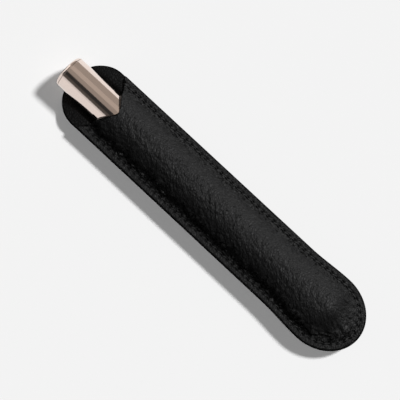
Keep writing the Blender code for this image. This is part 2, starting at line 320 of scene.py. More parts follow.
GRAINED = leather_material("grained_calfskin", 0.8, 0.10, (0.0075, 0.0075, 0.0078), 0.46)

BACK_ROWS = 150
BACK_COLUMNS = 61


def back_layer(top, thickness, rows, columns):
    """A layer of the back with its upper face top millimetres over the underside."""
    inset = EDGE_INSET
    head_turn = np.cos(np.linspace(0, math.pi / 2, rows // 6, endpoint=False))
    head = HEAD_CENTRE + (HEAD_END - inset) * head_turn
    xs = np.concatenate([head, row_stations(HEAD_CENTRE, rows, rows // 6, inset)])

    def place(row, column, face):
        x = xs[row]
        y = half_width(x, inset) * (1 - 2 * column / (columns - 1))
        z = back_height(x, y) + top - thickness * (1 - face)
        return np.column_stack([x, y, z, x, y])

    return slab(len(xs), columns, place)


def outer_underside(verts):
    """The vertices of a slab that look down."""
    return [vert for vert in verts if vert.normal.z < -0.5]


def dent_round_holes(holes, width, depth):
    """Relief that dips round each (x, y) hole."""
    spots = np.array(holes)

    def relief(x, y, u, v):
        nearest = ((spots - (x, y)) ** 2).sum(axis=1).min()
        return -depth * math.exp(-nearest / width**2)

    return relief


SEAM_INSET = 2.6
STITCH = 2.7
HOLE_WIDTH = 0.5
BACK_DENT = 0.18
MOUTH_CORNER = 59.3
SEAM_START = MOUTH_CORNER - 1.6


def spaced_points(xs, inset, spacing, ring):
    """Points every spacing along the outline, over the xs on the +Y side and back on the -Y side.

    A ring leaves out the last point, which is the first one again.
    """
    side = np.column_stack([xs, half_width(xs, inset)])
    whole = np.concatenate([side, (side * (1, -1))[-2::-1]])
    length = np.concatenate([[0], np.cumsum(np.hypot(*np.diff(whole, axis=0).T))])
    count = round(length[-1] / spacing)
    stops = np.linspace(0, length[-1], count + 1)
    if ring:
        stops = np.linspace(0, length[-1], count, endpoint=False)
    return np.column_stack([np.interp(stops, length, whole[:, k]) for k in (0, 1)])


def left_of(heading):
    """Unit directions to the left of each heading, which is inwards on this outline."""
    heading = heading / np.hypot(*heading.T)[:, None]
    return np.column_stack([-heading[:, 1], heading[:, 0]])


def outline_run(inset, first_x, spacing):
    """Points every spacing along the outline drawn in by inset, with their inward directions.

    It runs from first_x on the +Y side round the tail and back to first_x.
    """
    xs = row_stations(first_x, 400, 200, inset)
    points = spaced_points(xs, inset, spacing, False)
    return points, left_of(np.gradient(points, axis=0))


HOLES, SEAM_INWARDS = outline_run(SEAM_INSET, SEAM_START, STITCH)

back_shape, _ = back_layer(LEATHER, LEATHER, BACK_ROWS, BACK_COLUMNS)
back_dents = dent_round_holes(HOLES, HOLE_WIDTH, BACK_DENT)
emboss(back_shape, outer_underside(back_shape.verts), back_dents)
finish_piece(
    "back_leather", back_shape, GRAINED, "sleeve", ["back_panel"]
)

# ---------------------------------------------------------------- back lining
# A thin fine-grained skin glued over the whole back, flap and all. It is what the flap shows past
# the mouth, and the pen slides on it.

FINE_SKIN = leather_material(
    "fine_grained_skin", 1.0, 0.15, (0.0035, 0.0035, 0.0037), 0.52, gleam=0.2
)

lining_shape, _ = back_layer(LINED, LINING, 120, 49)
finish_piece(
    "back_skin", lining_shape, FINE_SKIN, "sleeve", ["back_lining"]
)

# ---------------------------------------------------------------- front panel
# The same calfskin, wetted and pressed over a former the size of the pen, so that it stands up round
# the pen, draws into puckers beside the seam and gathers at the closed end. Its mouth is a V.

PEN_CLEARANCE = 0.3
PEN_RADIUS = 6.8
POCKET_TOP = LINED + 2 * PEN_CLEARANCE + 2 * PEN_RADIUS
POCKET_HALF_WIDTH = 7.05
POCKET_TAIL_SWELL = 1.3
POCKET_SWELL_LENGTH = 24
SPOON_HALF_WIDTH = 11.3
SPOON_LENGTH = 14.2
MOUTH_POINT = 49.4
MOUTH_ROUNDING = 1.2
MOUTH_SLANT = 22.0
GRAIN_SLANT = 0.85
GRAIN_SPINE = -3.0
GRAIN_TURN = 3.5
SEAM_GROOVE = 0.12
HOLE_DEPTH = 0.9


def front_height(x, y, depth):
    """Height of the front at a depth in its layers, from 0 at the pocket to LINED outside.

    Round over the pen, it meets the flange in a tight fillet. Past the pen's tail it slopes to the
    seam like the inside of a spoon.
    """
    x, y = np.asarray(x, float), np.abs(y)
    level = rim_rise(x) + LINED + GLUE + depth
    top = POCKET_TOP + depth
    axis = LINED + PEN_CLEARANCE + PEN_RADIUS
    swell = 1 - smooth((x - TAIL_CENTRE) / POCKET_SWELL_LENGTH)
    wide = POCKET_HALF_WIDTH + POCKET_TAIL_SWELL * swell + 0.85 * depth
    arch = np.sqrt(np.maximum(0, 1 - (y / wide) ** 2))
    foot = 1 - smooth((y - wide) / (0.3 + 0.7 * depth))
    over_pen = (axis - level) * foot**2 + (top - axis) * arch
    along = np.maximum(0, (PEN_TAIL_SHOULDER - x) / (SPOON_LENGTH + 0.3 * depth))
    reach = np.hypot(y / (SPOON_HALF_WIDTH + 0.3 * depth), along)
    spoon = (top - level) * (0.5 + 0.5 * np.cos(math.pi * np.minimum(1, reach)))
    return level + blend(over_pen, spoon, smooth(along / 0.55))


def mouth_line(y):
    """X of the mouth's cut edge."""
    share = (np.hypot(y, MOUTH_ROUNDING) - MOUTH_ROUNDING) / (
        STRAIGHT_WIDTH / 2 - MOUTH_ROUNDING
    )
    return blend(MOUTH_POINT, MOUTH_CORNER, np.minimum(1, share))


def section_ys(x, depth, inset, columns):
    """Y of each column across a row, evenly spaced along the surface from +Y to -Y.

    Also gives half the surface's length.
    """
    ys = np.linspace(half_width(x, inset), 0, 3000)
    rises = np.diff(front_height(np.full_like(ys, x), ys, depth))
    length = np.concatenate([[0], np.cumsum(np.hypot(np.diff(ys), rises))])
    half = np.interp(np.linspace(0, length[-1], columns // 2 + 1), length, ys)
    return np.concatenate([half, -half[-2::-1]]), length[-1]


def front_layer(depths, rows, columns, tail_rows):
    """A layer of the front between two depths. columns is odd.

    On the skin, the grain's rows lean towards the tail on both sides of a line along the top.
    """
    xs = row_stations(MOUTH_POINT, rows, tail_rows, EDGE_INSET)
    laid = [[section_ys(x, depth, EDGE_INSET, columns) for x in xs] for depth in depths]
    across = np.array([[ys for ys, _ in layer] for layer in laid])
    girth = np.array([half for _, half in laid[1]])

    def place(row, column, face):
        x = xs[row]
        y = across[face, row, column]
        slant = 1 - np.clip((MOUTH_POINT - x) / MOUTH_SLANT, 0, 1)
        x = x + (mouth_line(y) - MOUTH_POINT) * slant
        depth = np.where(face == 1, depths[1], depths[0])
        v = girth[row] * (1 - 2 * column / (columns - 1))
        lean = GRAIN_SLANT * (np.hypot(v - GRAIN_SPINE, GRAIN_TURN) - GRAIN_TURN)
        return np.column_stack([x, y, front_height(x, y, depth), x + lean, v])

    return slab(len(xs), columns, place)


def inward_from_edge(x, y):
    """Distance in from the outline."""
    if x > TAIL_CENTRE:
        return float(half_width(x)) - abs(y)
    along = (TAIL_CENTRE - x) / TAIL_END
    across = y / (TAIL_WIDTH / 2)
    reach = math.hypot(along, across)
    return (1 - reach) * math.hypot(TAIL_CENTRE - x, y) / max(reach, 0.01)


def pebble(u, v, seed):
    """0 in the creases between cells one unit wide, and 1 on their tops."""
    near, next_near = noise.voronoi((u, v, seed))[0][:2]
    return float(smooth((next_near - near) / 0.34))


def front_relief(x, y, u, v):
    """What working and wear do to the front: its seam, puckers, gathers, wrinkles and grain."""
    inward = inward_from_edge(x, y)
    seam = inward - SEAM_INSET
    nearest = ((HOLES - (x, y)) ** 2).sum(axis=1).min()
    sewn = smooth((MOUTH_CORNER - 0.5 - x) / 1.5)
    relief = -SEAM_GROOVE * sewn * math.exp(-((seam / 0.45) ** 2))
    relief -= HOLE_DEPTH * sewn * math.exp(-nearest / HOLE_WIDTH**2)

    # Puckers between the bulge's foot and the seam, longer than they are wide, and deepest on the
    # +Y side
    drift = noise.noise((x / 4, y / 4, 3.0))
    beside = math.exp(-(((seam - 1.9 - 0.8 * drift) / 1.7) ** 2))
    lumps = pebble(x / 4.2 + 0.6 * drift, seam / 1.35 + 0.4 * x / 4.2 + drift, 3.0)
    lumps += 0.8 * pebble(x / 1.7 - drift, seam / 1.1 + drift, 6.0)
    plus_y_side = float(smooth((y + 4) / 8))
    relief += (0.28 + 0.62 * plus_y_side) * beside * (lumps - 0.9)

    # The bulge's uneven foot, and longer lumps beside it on the +Y side
    foot = math.exp(-(((seam - 3.3) / 1.1) ** 2)) * smooth((x - TAIL_CENTRE + 8) / 8)
    relief += 0.8 * foot * (0.5 + noise.noise((x / 2.6, 1.7 * math.copysign(1, y), 9.0)))
    filled = math.exp(-(((seam - 2.2) / 0.8) ** 2)) * plus_y_side
    relief += 0.7 * filled * pebble(x / 3.6 + drift, seam / 1.3, 14.0)

    # Gathers that fan out from the closed end's seam
    turn = math.atan2(y, TAIL_CENTRE + 5 - x)
    fan = smooth((TAIL_CENTRE + 1 - x) / 5) * math.exp(-(((seam - 2.8) / 3.0) ** 2))
    gather = 1 - 2 * abs(noise.noise((turn * 4.2, inward / 12, 21.0)))
    gather += 0.7 * noise.noise((turn * 12, inward / 7, 4.0))
    relief += 0.6 * fan * (gather - 0.6)

    # Drawn grain, longer down the flanks than along the case, with a few long thin creases, a
    # hand-pressed unevenness, and pebbles on the flat flange
    on_bulge = smooth((seam - 1.2) / 2.5)
    shift = 0.7 * noise.noise((u / 5, v / 5, 7.0))
    grain = pebble(u / 1.8 + shift, v / 3.2 + shift, 11.0)
    grain += 0.9 * pebble(u / 1.2 - shift, v / 1.9, 5.0)
    relief += 0.25 * on_bulge * (grain - 1.1)
    crease = abs(noise.noise((u / 2.6 + shift, v / 9.0, 17.0)))
    relief -= 0.16 * on_bulge * (1 - float(smooth(crease / 0.15)))
    relief += 0.16 * on_bulge * noise.noise((x / 7, y / 5, 2.0))
    relief += 0.22 * (1 - on_bulge) * (pebble(x / 1.25, y / 1.1, 8.0) - 0.6)
    return relief * smooth(inward / 0.9)


front_shape, front_outside = front_layer((LINING + GLUE, LINED), 300, 105, 60)
emboss(front_shape, front_outside, front_relief)
finish_piece(
    "front_leather", front_shape, GRAINED, "sleeve", ["front_panel"]
)

# ---------------------------------------------------------------- front lining
# The same thin skin as the back's, pressed with the front and cut off level with its mouth.

front_lining_shape, _ = front_layer((0, LINING), 110, 61, 24)
finish_piece(
    "front_skin",
    front_lining_shape,
    FINE_SKIN,
    "sleeve",
    ["front_lining"],
)

# ---------------------------------------------------------------- painted edges
# The cut edges are sanded level, then painted black in two coats, which leaves a smooth bead round
# the outline and along the mouth.

OUTLINE_BEAD_HALF = 0.31
OUTLINE_SPACING = 0.55
OUTLINE_SHORTFALL = 0.05
MOUTH_BEAD_HALF = 0.2
MOUTH_BEAD_OUT = 0.14
MOUTH_BEAD_OVERLAP = 0.02
BEAD_SIDES = 10


def set_input(material, name, value):
    """Sets a number of the finish that is the same all over the surface."""
    shader = material.node_tree.nodes["Principled BSDF"]
    shader.inputs[name].default_value = value


EDGE_PAINT = new_material("edge_paint", (0.002, 0.002, 0.002), 0.30)
set_input(EDGE_PAINT, "Specular IOR Level", 0.07)


def uneven_gloss(material, size, low, high, depth):
    """Roughness between low and high in patches of about size millimetres, with a slight swell."""
    tree = material.node_tree
    shader = tree.nodes["Principled BSDF"]
    patches = add_node(
        material,
        "ShaderNodeTexNoise",
        [("Vector", object_mm(material)), ("Scale", 1 / size), ("Detail", 4.0)],
    )
    gloss = add_node(
        material,
        "ShaderNodeMapRange",
        [
            ("Value", patches.outputs["Fac"]),
            ("From Min", 0.3),
            ("From Max", 0.7),
            ("To Min", low),
            ("To Max", high),
        ],
    )
    tree.links.new(gloss.outputs[0], shader.inputs["Roughness"])
    swell = add_node(
        material,
        "ShaderNodeBump",
        [
            ("Height", patches.outputs["Fac"]),
            ("Distance", depth * MM),
            ("Strength", 1.0),
        ],
    )
    tree.links.new(swell.outputs[0], shader.inputs["Normal"])
    return material


uneven_gloss(EDGE_PAINT, 1.2, 0.24, 0.42, 0.05)


def bead(path, sideways, upwards, half_thick, half_tall, ring):
    """A bead of oval section, swept along a path. ring closes it on itself."""
    rows = len(path) + int(ring)
    shape = bmesh.new()
    bmesh.ops.create_grid(shape, x_segments=rows - 1, y_segments=BEAD_SIDES, size=1)
    for vert in shape.verts:
        row = round((1 - vert.co.x) / 2 * (rows - 1)) % len(path)
        turn = math.pi * (1 + vert.co.y)
        out = sideways[row] * (math.cos(turn) * half_thick)
        rise = upwards[row] * (math.sin(turn) * half_tall[row])
        vert.co = (path[row] + out + rise) * MM
    bmesh.ops.remove_doubles(shape, verts=shape.verts, dist=0.001 * MM)
    bmesh.ops.holes_fill(shape, edges=shape.edges)
    bmesh.ops.recalc_face_normals(shape, faces=shape.faces)
    return shape


def outline_loop(inset, spacing):
    """The whole outline as a closed ring of points, with inward directions."""
    steps = np.linspace(0, math.pi / 2, 60, endpoint=False)
    head = HEAD_CENTRE + (HEAD_END - inset) * np.cos(steps)
    xs = np.concatenate([head, row_stations(HEAD_CENTRE, 400, 90, inset)])
    points = spaced_points(xs, inset, spacing, True)
    heading = np.roll(points, -1, axis=0) - np.roll(points, 1, axis=0)
    return points, left_of(heading)


ring_xy, ring_in = outline_loop(OUTLINE_BEAD_HALF, OUTLINE_SPACING)
sewn_share = smooth((MOUTH_CORNER + 0.4 - ring_xy[:, 0]) / 0.8)
stack = blend(LINED, 2 * LINED + GLUE, sewn_share)
low = back_height(ring_xy[:, 0], ring_xy[:, 1])
ring_path = np.column_stack([ring_xy, low + stack / 2])
ring_inwards = np.column_stack([ring_in, np.zeros(len(ring_in))])
ring_up = np.tile((0.0, 0.0, 1.0), (len(ring_path), 1))
ring_half = stack / 2 - OUTLINE_SHORTFALL
edge_bead = bead(ring_path, ring_inwards, ring_up, OUTLINE_BEAD_HALF, ring_half, True)
finish_piece("edge_bead", edge_bead, EDGE_PAINT, "sleeve", ["edge_coat"])

mouth_ys, _ = section_ys(MOUTH_POINT, LINED, EDGE_INSET + MOUTH_BEAD_HALF, 161)
mouth_xs = mouth_line(mouth_ys)
outer_line = np.column_stack(
    [mouth_xs, mouth_ys, front_height(mouth_xs, mouth_ys, LINED)]
)
along = np.gradient(outer_line, axis=0)
along /= np.linalg.norm(along, axis=1)[:, None]
level_along = along * (0, 1, 1)
level_along /= np.linalg.norm(level_along, axis=1)[:, None]
mouth_up = np.cross(level_along, (1.0, 0.0, 0.0))
mouth_up *= np.sign(mouth_up[len(mouth_up) // 2, 2])
mouth_out = np.cross(mouth_up, along)
mouth_out *= np.sign(mouth_out[len(mouth_out) // 2, 0])
mouth_path = outer_line - mouth_up * (LINED / 2) + mouth_out * MOUTH_BEAD_OUT
mouth_half = np.full(len(mouth_path), LINED / 2 + MOUTH_BEAD_OVERLAP)
mouth_bead = bead(mouth_path, mouth_out, mouth_up, MOUTH_BEAD_HALF, mouth_half, False)
finish_piece(
    "mouth_bead", mouth_bead, EDGE_PAINT, "sleeve", ["mouth_edge_coat"]
)

# ---------------------------------------------------------------- seam
# A lock stitch in black waxed thread of two plies, 0.5 mm thick, every 2.7 mm from one mouth corner
# round the closed end to the other. The needle thread shows on the front and the bobbin thread on
# the back, and the first stitches at each corner are sewn twice.

THREAD_RADIUS = 0.25
THREAD_SIDES = 8
THREAD_STEPS = 9
PLY_RELIEF = 0.16
PLY_TWIST = 5.5
END_TAPER = 0.45
STITCH_OVERRUN = 0.1
STITCH_ARCH = 0.22
STITCH_LEAN = math.radians(9)
TACK_SHIFT = 0.34
FRONT_SEAM_SUNK = 0.45
BACK_SEAM_SUNK = 0.12

SEWING_THREAD = new_material("waxed_thread", (0.007, 0.007, 0.0072), 0.5)
uneven_gloss(SEWING_THREAD, 0.35, 0.42, 0.65, 0.04)


def one_stitch(length, arch):
    """A twisted stitch along X that dives at both ends, lying on z = 0."""
    shape = bmesh.new()
    bmesh.ops.create_grid(
        shape, x_segments=THREAD_STEPS, y_segments=THREAD_SIDES, size=1
    )
    for vert in shape.verts:
        along = vert.co.x
        turn = math.pi * vert.co.y
        ply = 1 + PLY_RELIEF * math.cos(2 * turn - along * PLY_TWIST)
        taper = 1 - END_TAPER * abs(along) ** 5
        radius = THREAD_RADIUS * ply * taper
        sink = arch * (1 - along**4) + THREAD_RADIUS * 0.3
        vert.co = (
            along * length / 2,
            radius * math.cos(turn),
            sink + radius * math.sin(turn),
        )
    bmesh.ops.remove_doubles(shape, verts=shape.verts, dist=0.001)
    bmesh.ops.holes_fill(shape, edges=shape.edges)
    bmesh.ops.recalc_face_normals(shape, faces=shape.faces)
    return shape


def sew(holes, inwards, height, side):
    """Stitches from hole to hole over the leather (side 1) or under it (side -1).

    The first two and the last two are sewn twice, the second time a little further out.
    """
    seam = bmesh.new()
    template = bpy.data.meshes.new("stitch")
    count = len(holes) - 1
    tacks = [(n, TACK_SHIFT) for n in (0, 1, count - 2, count - 1)]
    for n, shift in [(n, 0.0) for n in range(count)] + tacks:
        start, end = holes[n], holes[n + 1]
        run = end - start
        middle = (start + end) / 2 - inwards[n] * shift
        z = height(*middle)
        lean = math.atan2(run[1], run[0]) + STITCH_LEAN
        one = one_stitch(float(np.hypot(*run)) + STITCH_OVERRUN, STITCH_ARCH)
        one.to_mesh(template)
        one.free()
        placed = bmesh.new()
        placed.from_mesh(template)
        turned = Matrix.Translation((*middle, z)) @ Matrix.Rotation(lean, 4, "Z")
        turned = turned @ Matrix.Diagonal((1, 1, side, 1))
        bmesh.ops.transform(placed, matrix=turned, verts=placed.verts)
        if side < 0:
            bmesh.ops.reverse_faces(placed, faces=placed.faces)
        placed.to_mesh(template)
        placed.free()
        seam.from_mesh(template)
    bpy.data.meshes.remove(template)
    bmesh.ops.scale(seam, vec=(MM, MM, MM), verts=seam.verts)
    return seam


def front_seam_height(x, y):
    return float(front_height(x, y, LINED)) - FRONT_SEAM_SUNK


def back_seam_height(x, y):
    return float(back_height(x, y)) + BACK_SEAM_SUNK


needle_seam = sew(HOLES, SEAM_INWARDS, front_seam_height, 1)
finish_piece(
    "needle_stitches",
    needle_seam,
    SEWING_THREAD,
    "sleeve",
    ["needle_thread"],
)
bobbin_seam = sew(HOLES, SEAM_INWARDS, back_seam_height, -1)
finish_piece(
    "bobbin_stitches",
    bobbin_seam,
    SEWING_THREAD,
    "sleeve",
    ["bobbin_thread"],
)

# ---------------------------------------------------------------- barrel
# The pen's rear half: a drawn brass tube with a turned end pressed in, both plated in polished
# champagne gold, and a bare brass bush that the grip screws into.

PEN_TAIL = -57.9
PEN_LENGTH = 135.4
PEN_AXIS = Vector((PEN_TAIL, 0, LINED + PEN_CLEARANCE + PEN_RADIUS))
CAP_MOUTH = 74.0
CAP_GAP = 0.15
TUBE_BORE = 6.1
PLUG_RADIUS = 5.9
PLUG_LENGTH = 5
TAIL_JOINT = 0.1
BUSH_BORE = 5.05
TURNED_SIDES = 128


def turned_shape(profile, closed=True, edge=0.06, sides=TURNED_SIDES):
    """A piece turned about the pen's axis from (distance from the tail, radius) points.

    A closed profile is a ring's section. An open one starts and ends on the axis. Its sharp edges
    are broken by a small bevel.
    """
    shape = bmesh.new()
    points = [shape.verts.new((along, 0, radius)) for along, radius in profile]
    pairs = list(zip(points, points[1:]))
    if closed:
        pairs.append((points[-1], points[0]))
    for pair in pairs:
        shape.edges.new(pair)
    corners = [
        point
        for point in points
        if len(point.link_edges) == 2 and point.calc_edge_angle(0) > 0.6
    ]
    if edge:
        bmesh.ops.bevel(
            shape,
            geom=corners,
            offset=edge,
            segments=3,
            profile=0.5,
            affect="VERTICES",
            material=-1,
        )
    bmesh.ops.spin(
        shape,
        geom=shape.verts[:] + shape.edges[:],
        axis=(1, 0, 0),
        cent=(0, 0, 0),
        angle=math.tau,
        steps=sides,
        use_merge=True,
    )
    bmesh.ops.remove_doubles(shape, verts=shape.verts, dist=0.0005)
    bmesh.ops.recalc_face_normals(shape, faces=shape.faces)
    bmesh.ops.scale(shape, vec=(MM, MM, MM), verts=shape.verts)
    bmesh.ops.translate(shape, vec=PEN_AXIS * MM, verts=shape.verts)
    return shape


def domed_end(tip, way):
    """Profile of a domed pen end with a rounded rim, from its tip to the full radius."""
    dome, rim = 0.6, 1.3
    flat = PEN_RADIUS - rim
    shares = np.linspace(0, 1, 9)
    points = [(tip + way * dome * share**2, flat * share) for share in shares]
    for turn in np.radians(np.linspace(10, 90, 9)):
        along = tip + way * (dome + rim * (1 - math.cos(turn)))
        points.append((along, flat + rim * math.sin(turn)))
    return points


def drawn_lines(material, pitch, depth, low, high):
    """Fine lathe lines round the pen, with roughness between low and high."""
    tree = material.node_tree
    shader = tree.nodes["Principled BSDF"]
    lines = add_node(
        material,
        "ShaderNodeTexNoise",
        [
            ("Vector", object_mm(material, stretch=(1 / pitch, 0.05, 0.05))),
            ("Scale", 1.0),
            ("Detail", 2.0),
        ],
    )
    smears = add_node(
        material,
        "ShaderNodeTexNoise",
        [("Vector", object_mm(material)), ("Scale", 0.22), ("Detail", 4.0)],
    )
    gloss = add_node(
        material,
        "ShaderNodeMapRange",
        [
            ("Value", smears.outputs["Fac"]),
            ("From Min", 0.3),
            ("From Max", 0.7),
            ("To Min", low),
            ("To Max", high),
        ],
    )
    tree.links.new(gloss.outputs[0], shader.inputs["Roughness"])
    score = add_node(
        material,
        "ShaderNodeBump",
        [("Height", lines.outputs["Fac"]), ("Distance", depth * MM), ("Strength", 1.0)],
    )
    tree.links.new(score.outputs[0], shader.inputs["Normal"])
    return material


CHAMPAGNE = new_material("champagne_plate", (0.83, 0.70, 0.635), 0.12, 1.0)
drawn_lines(CHAMPAGNE, 0.25, 0.0006, 0.08, 0.15)
BARE_BRASS = new_material("turned_brass", (0.72, 0.52, 0.24), 0.25, 1.0)
drawn_lines(BARE_BRASS, 0.2, 0.004, 0.2, 0.34)

pen_pieces = []


def pen_piece(name, shape, material, body, replaces, sharp=40):
    """A finished piece that the pen's own lamps light."""
    pen_pieces.append(finish_piece(name, shape, material, body, replaces, sharp))


end_profile = domed_end(0.0, 1)
end_shoulder = end_profile[-1][0]
end_profile += [(end_shoulder, PLUG_RADIUS), (PLUG_LENGTH, PLUG_RADIUS), (PLUG_LENGTH, 0)]
pen_piece(
    "barrel_end_plug",
    turned_shape(end_profile, closed=False),
    CHAMPAGNE,
    "barrel",
    ["barrel_end"],
)
tube_profile = [
    (end_shoulder + TAIL_JOINT, TUBE_BORE),
    (end_shoulder + TAIL_JOINT, PEN_RADIUS),
    (CAP_MOUTH - CAP_GAP, PEN_RADIUS),
    (CAP_MOUTH - CAP_GAP, TUBE_BORE),
]
pen_piece(
    "barrel_shell",
    turned_shape(tube_profile),
    CHAMPAGNE,
    "barrel",
    ["barrel_tube"],
)


def thread_ridges(start, end, root, crest, pitch):
    """Zigzag profile of a screw thread's ridges."""
    count = round((end - start) / pitch)
    step = (end - start) / count
    points = []
    for n in range(count):
        points.append((start + n * step, root))
        points.append((start + (n + 0.5) * step, crest))
    return points + [(end, root)]


bush_profile = [(62, BUSH_BORE), (62, PLUG_RADIUS), (CAP_MOUTH - CAP_GAP, PLUG_RADIUS)]
bush_profile += [(CAP_MOUTH - CAP_GAP, BUSH_BORE)]
bush_profile += thread_ridges(73.4, 64.2, BUSH_BORE, 4.82, 0.75)
pen_piece(
    "threaded_bush",
    turned_shape(bush_profile, edge=0, sides=96),
    BARE_BRASS,
    "barrel",
    ["barrel_bush"],
)

# ---------------------------------------------------------------- grip, feed and nib
# The grip section is turned black resin, waisted for the fingers, with the thread that holds the
# barrel behind it. The finned feed is pressed into it under the nib, a plate of polished steel
# rolled round the feed, slit from its point to a breather hole.

BLACK_RESIN = new_material("black_resin", (0.010, 0.010, 0.010), 0.2)
uneven_gloss(BLACK_RESIN, 2.5, 0.14, 0.26, 0.008)
NIB_STEEL = new_material("nib_steel", (0.74, 0.735, 0.72), 0.14, 1.0)
drawn_lines(NIB_STEEL, 0.12, 0.0008, 0.10, 0.2)

grip_waist = [(75.8, 5.25), (76.4, 5.12), (78, 4.92), (81, 4.70), (85, 4.50), (89, 4.36)]
grip_waist += [(92, 4.32), (94.5, 4.38), (96, 4.55), (97.2, 4.80), (97.9, 4.84)]
grip_waist += [(98.4, 4.72)]
grip_profile = [(64, 3.15), (64, 4.5)]
grip_profile += thread_ridges(64.3, 73.6, 4.55, 4.76, 0.75)
grip_profile += [(CAP_MOUTH, 4.55), (CAP_MOUTH, 5.25)] + grip_waist + [(98.5, 3.15)]
pen_piece(
    "grip",
    turned_shape(grip_profile, edge=0, sides=96),
    BLACK_RESIN,
    "front_half",
    ["grip_section"],
    sharp=30,
)

fins = []
for fin in range(9):
    start = 99.2 + fin * 0.85
    fins += [(start, 2.3), (start, 1.75), (start + 0.4, 1.75), (start + 0.4, 2.3)]
feed_profile = [(70, 0), (70, 1.2), (88, 1.2), (88, 2.3)] + fins
feed_profile += [(108, 2.25), (111, 1.75), (114, 1.15), (116.4, 0.6), (116.9, 0)]
pen_piece(
    "ink_feed",
    turned_shape(feed_profile, closed=False, edge=0, sides=48),
    BLACK_RESIN,
    "front_half",
    ["feed"],
    sharp=30,
)

NIB_HEEL, NIB_SHOULDER, NIB_TIP = 91.0, 106.0, 121.0
NIB_RADIUS, NIB_DROOP = 2.6, 0.9
BREATHER_AT, BREATHER_RADIUS, SLIT = 108.5, 0.55, 0.05
NIB_ROWS, NIB_COLUMNS = 91, 24
NIB_PLATE = 0.22


def nib_shape():
    """The nib's plate, rolled about the feed, with its slit and breather hole."""
    shape = bmesh.new()
    bmesh.ops.create_grid(
        shape, x_segments=NIB_ROWS - 1, y_segments=NIB_COLUMNS - 1, size=1
    )
    for vert in shape.verts:
        along = blend(NIB_HEEL, NIB_TIP, (vert.co.x + 1) / 2)
        cut = max(0.0, (along - NIB_SHOULDER) / (NIB_TIP - NIB_SHOULDER))
        spread = math.radians(blend(84, 7, cut**0.8))
        inner = SLIT / NIB_RADIUS
        column = vert.co.y
        share = (abs(column) - 1 / (NIB_COLUMNS - 1)) / (1 - 1 / (NIB_COLUMNS - 1))
        angle = math.copysign(blend(inner, spread, share), column)
        height = NIB_RADIUS * math.cos(angle) - NIB_DROOP * cut**2
        vert.co = (along, NIB_RADIUS * math.sin(angle), height)
    gone = []
    for face in shape.faces:
        middle = face.calc_center_median()
        in_slit = abs(middle.y) < SLIT / 2 and middle.x > BREATHER_AT
        from_hole = math.hypot(middle.x - BREATHER_AT, middle.y)
        if in_slit or from_hole < BREATHER_RADIUS:
            gone.append(face)
    bmesh.ops.delete(shape, geom=gone, context="FACES")
    bmesh.ops.recalc_face_normals(shape, faces=shape.faces)
    shape.faces.ensure_lookup_table()
    if shape.faces[0].normal.z < 0:
        bmesh.ops.reverse_faces(shape, faces=shape.faces)
    bmesh.ops.solidify(shape, geom=shape.faces[:], thickness=NIB_PLATE)
    bmesh.ops.recalc_face_normals(shape, faces=shape.faces)
    bmesh.ops.scale(shape, vec=(MM, MM, MM), verts=shape.verts)
    bmesh.ops.translate(shape, vec=PEN_AXIS * MM, verts=shape.verts)
    return shape


pen_piece("steel_nib", nib_shape(), NIB_STEEL, "front_half", ["nib"])

# ---------------------------------------------------------------- converter
# A piston filler pushed into the grip: a clear tube, a steel collar, a knurled knob, and a piston on
# a screw that carries a rubber seal. Turning the knob winds the piston up and down the tube.

CLEAR_RESIN = new_material("clear_resin", (0.86, 0.88, 0.88), 0.06)
set_input(CLEAR_RESIN, "Transmission Weight", 0.9)
set_input(CLEAR_RESIN, "IOR", 1.49)
uneven_gloss(CLEAR_RESIN, 3.0, 0.03, 0.09, 0.004)
SEAL_RUBBER = new_material("seal_rubber", (0.028, 0.028, 0.029), 0.75)
uneven_gloss(SEAL_RUBBER, 0.8, 0.65, 0.85, 0.02)

converter_profile = [(73.8, 1.5), (73.8, 2.9), (62.4, 2.9), (61.9, 3.55), (30, 3.55)]
converter_profile += [(30, 3.0), (61, 3.0), (61, 1.5)]
pen_piece(
    "ink_tube",
    turned_shape(converter_profile, sides=64),
    CLEAR_RESIN,
    "front_half",
    ["converter_tube"],
)
collar_profile = [(24.3, 1.2), (24.3, 4.0), (24.8, 4.1), (27.2, 4.1), (27.4, 3.95)]
collar_profile += [(27.8, 3.95), (28, 4.1), (36, 4.1), (36, 3.75), (29.8, 3.75)]
collar_profile += [(29.8, 1.2)]
pen_piece(
    "steel_collar",
    turned_shape(collar_profile, sides=64),
    NIB_STEEL,
    "front_half",
    ["converter_collar"],
)
piston_profile = [(9.5, 0), (9.5, 0.65), (10, 0.8), (33, 0.8), (33, 2.5), (33.2, 2.7)]
piston_profile += [(35, 2.7), (35, 2.15), (38, 2.15), (38, 2.7), (39.8, 2.7), (40, 2.5)]
piston_profile += [(40, 0)]
pen_piece(
    "piston_rod",
    turned_shape(piston_profile, closed=False, sides=48),
    BLACK_RESIN,
    "piston",
    ["converter_piston"],
)
seal_profile = [(35.2, 2.3), (35.2, 2.75), (35.5, 2.88), (36.1, 2.78), (36.9, 2.78)]
seal_profile += [(37.5, 2.88), (37.8, 2.75), (37.8, 2.3)]
pen_piece(
    "rubber_seal",
    turned_shape(seal_profile, edge=0, sides=48),
    SEAL_RUBBER,
    "piston",
    ["piston_seal"],
)

KNURLS = 24
KNURLS_START, KNURLS_END, KNURLS_INSIDE = 10.6, 22.6, 3.0
KNURL_SHARE = 0.05


